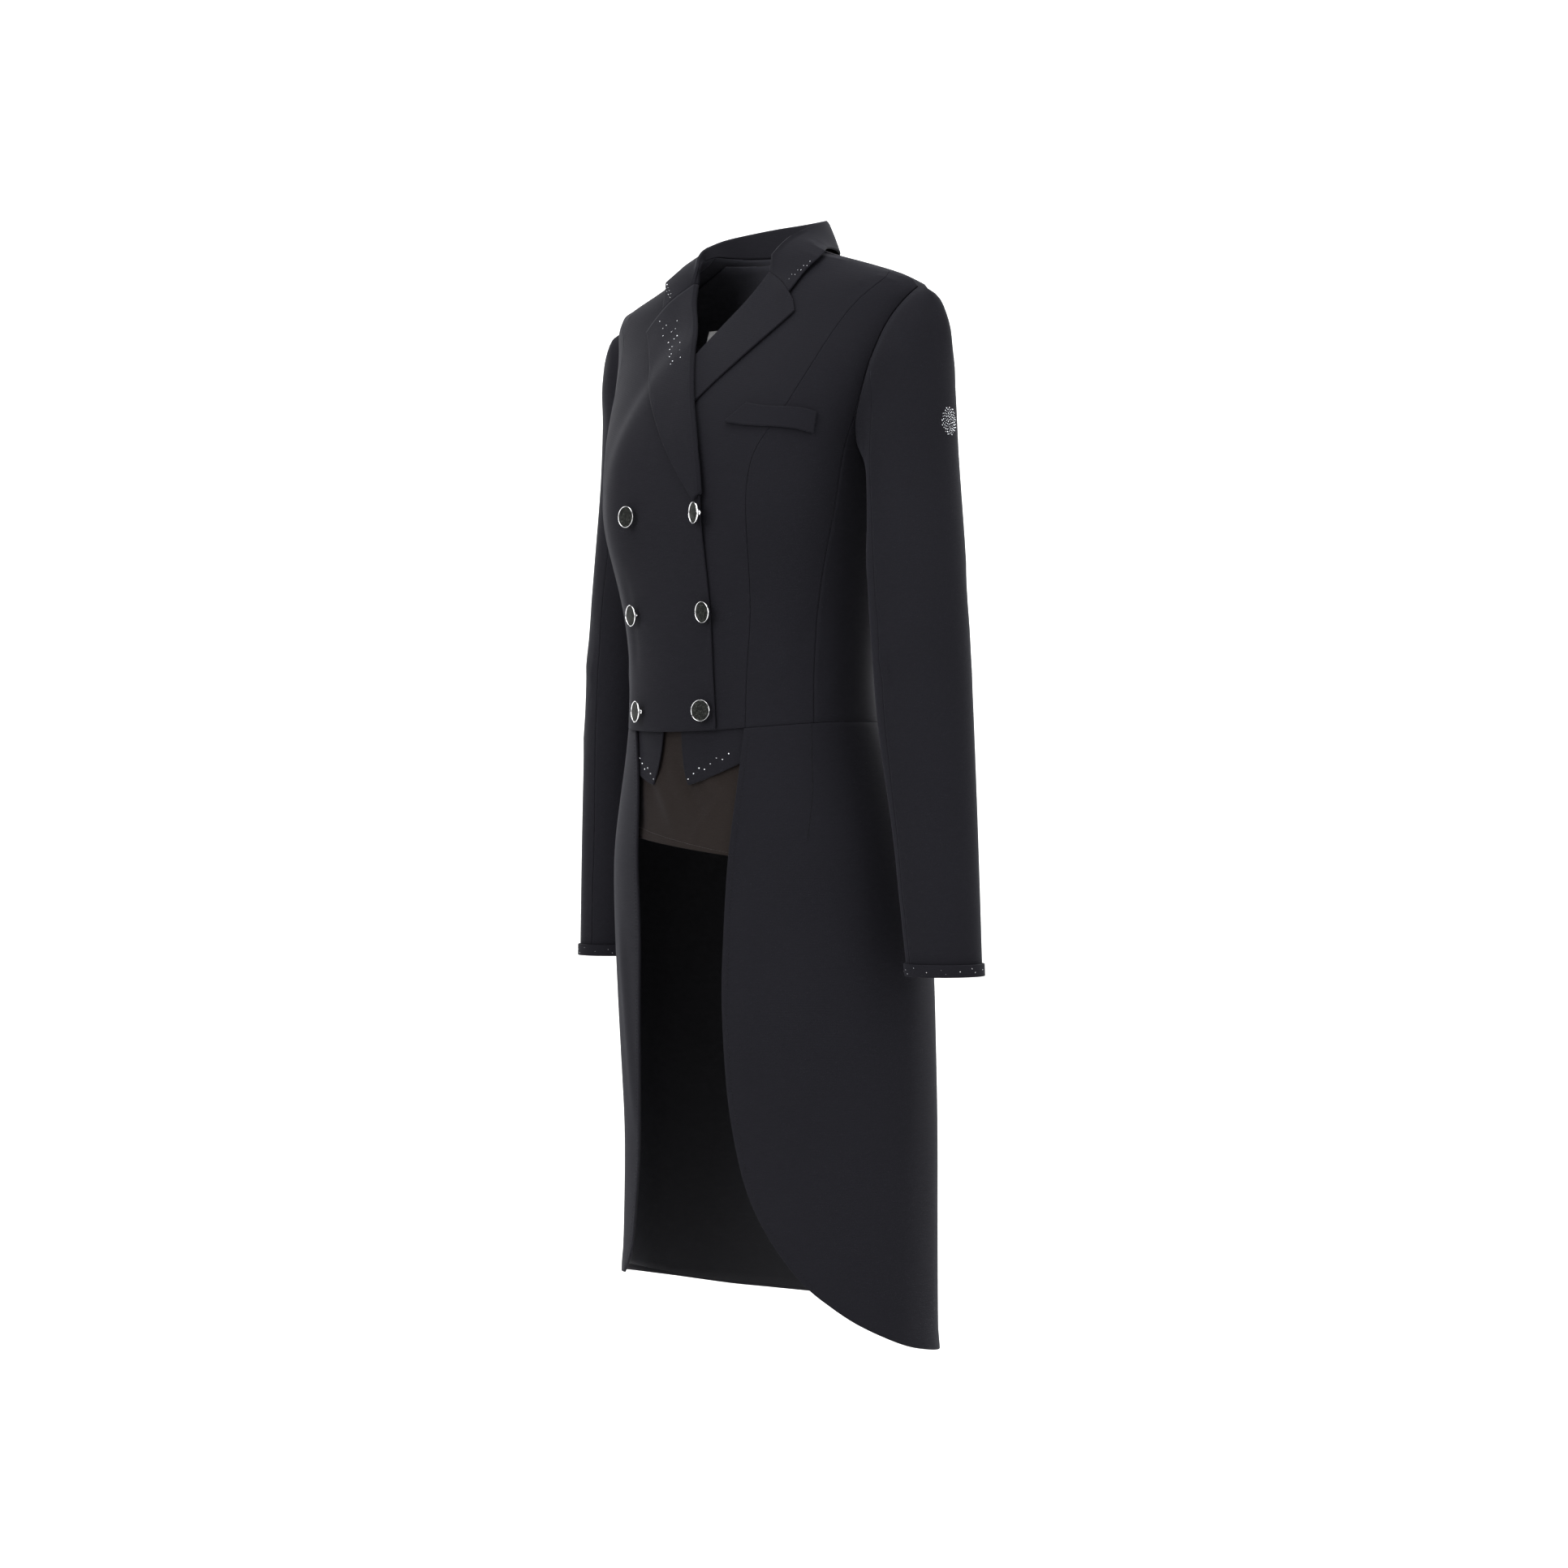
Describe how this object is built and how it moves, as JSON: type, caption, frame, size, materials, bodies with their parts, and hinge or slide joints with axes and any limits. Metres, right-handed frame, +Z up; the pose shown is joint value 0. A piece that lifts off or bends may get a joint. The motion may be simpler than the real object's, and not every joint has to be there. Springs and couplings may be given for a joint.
{
  "type": "dressage tailcoat",
  "caption": "Women's double-breasted riding tailcoat, worn shape and hollow, with peaked lapels, small crystals, false waistcoat points, cutaway tails with a back vent and long sleeves.",
  "frame": {"origin": "middle of the neck where the collar is sewn on, where the wearer's neck and shoulders hold the coat", "axes": "+Z up towards the wearer's head, -Y the way the wearer faces, +X the wearer's left"},
  "size_m": [0.5524, 0.273, 1.0513],
  "materials": {
    "cloth": "matte stretch softshell, black with a blue-grey cast",
    "lining": "smooth dark lining, faint sheen",
    "inner_panel": "matte dark brown stretch cloth",
    "label": "blank woven label, satin",
    "button": "polished silver rim round a dark glitter centre"
  },
  "bodies": {
    "root": {"front_left": "cloth", "front_right": "cloth", "side_front_left": "cloth", "side_front_right": "cloth", "side_body_left": "cloth", "side_body_right": "cloth", "back_left": "cloth", "back_right": "cloth", "tail_left": "cloth", "tail_right": "cloth", "lapel_left": "cloth", "lapel_right": "cloth", "top_sleeve_left": "cloth", "top_sleeve_right": "cloth", "under_sleeve_left": "cloth", "under_sleeve_right": "cloth", "cuff_left": "cloth", "cuff_right": "cloth", "waistcoat_point_left": "cloth", "waistcoat_point_right": "cloth", "collar": "cloth", "pocket_welt": "cloth", "tail_lining_left": "lining", "tail_lining_right": "lining", "back_lining": "lining", "inner_panel": "inner_panel", "neck_label": "label", "button_top_left": "button", "button_top_right": "button", "button_middle_left": "button", "button_middle_right": "button", "button_bottom_left": "button", "button_bottom_right": "button"}
  },
  "joints": []
}
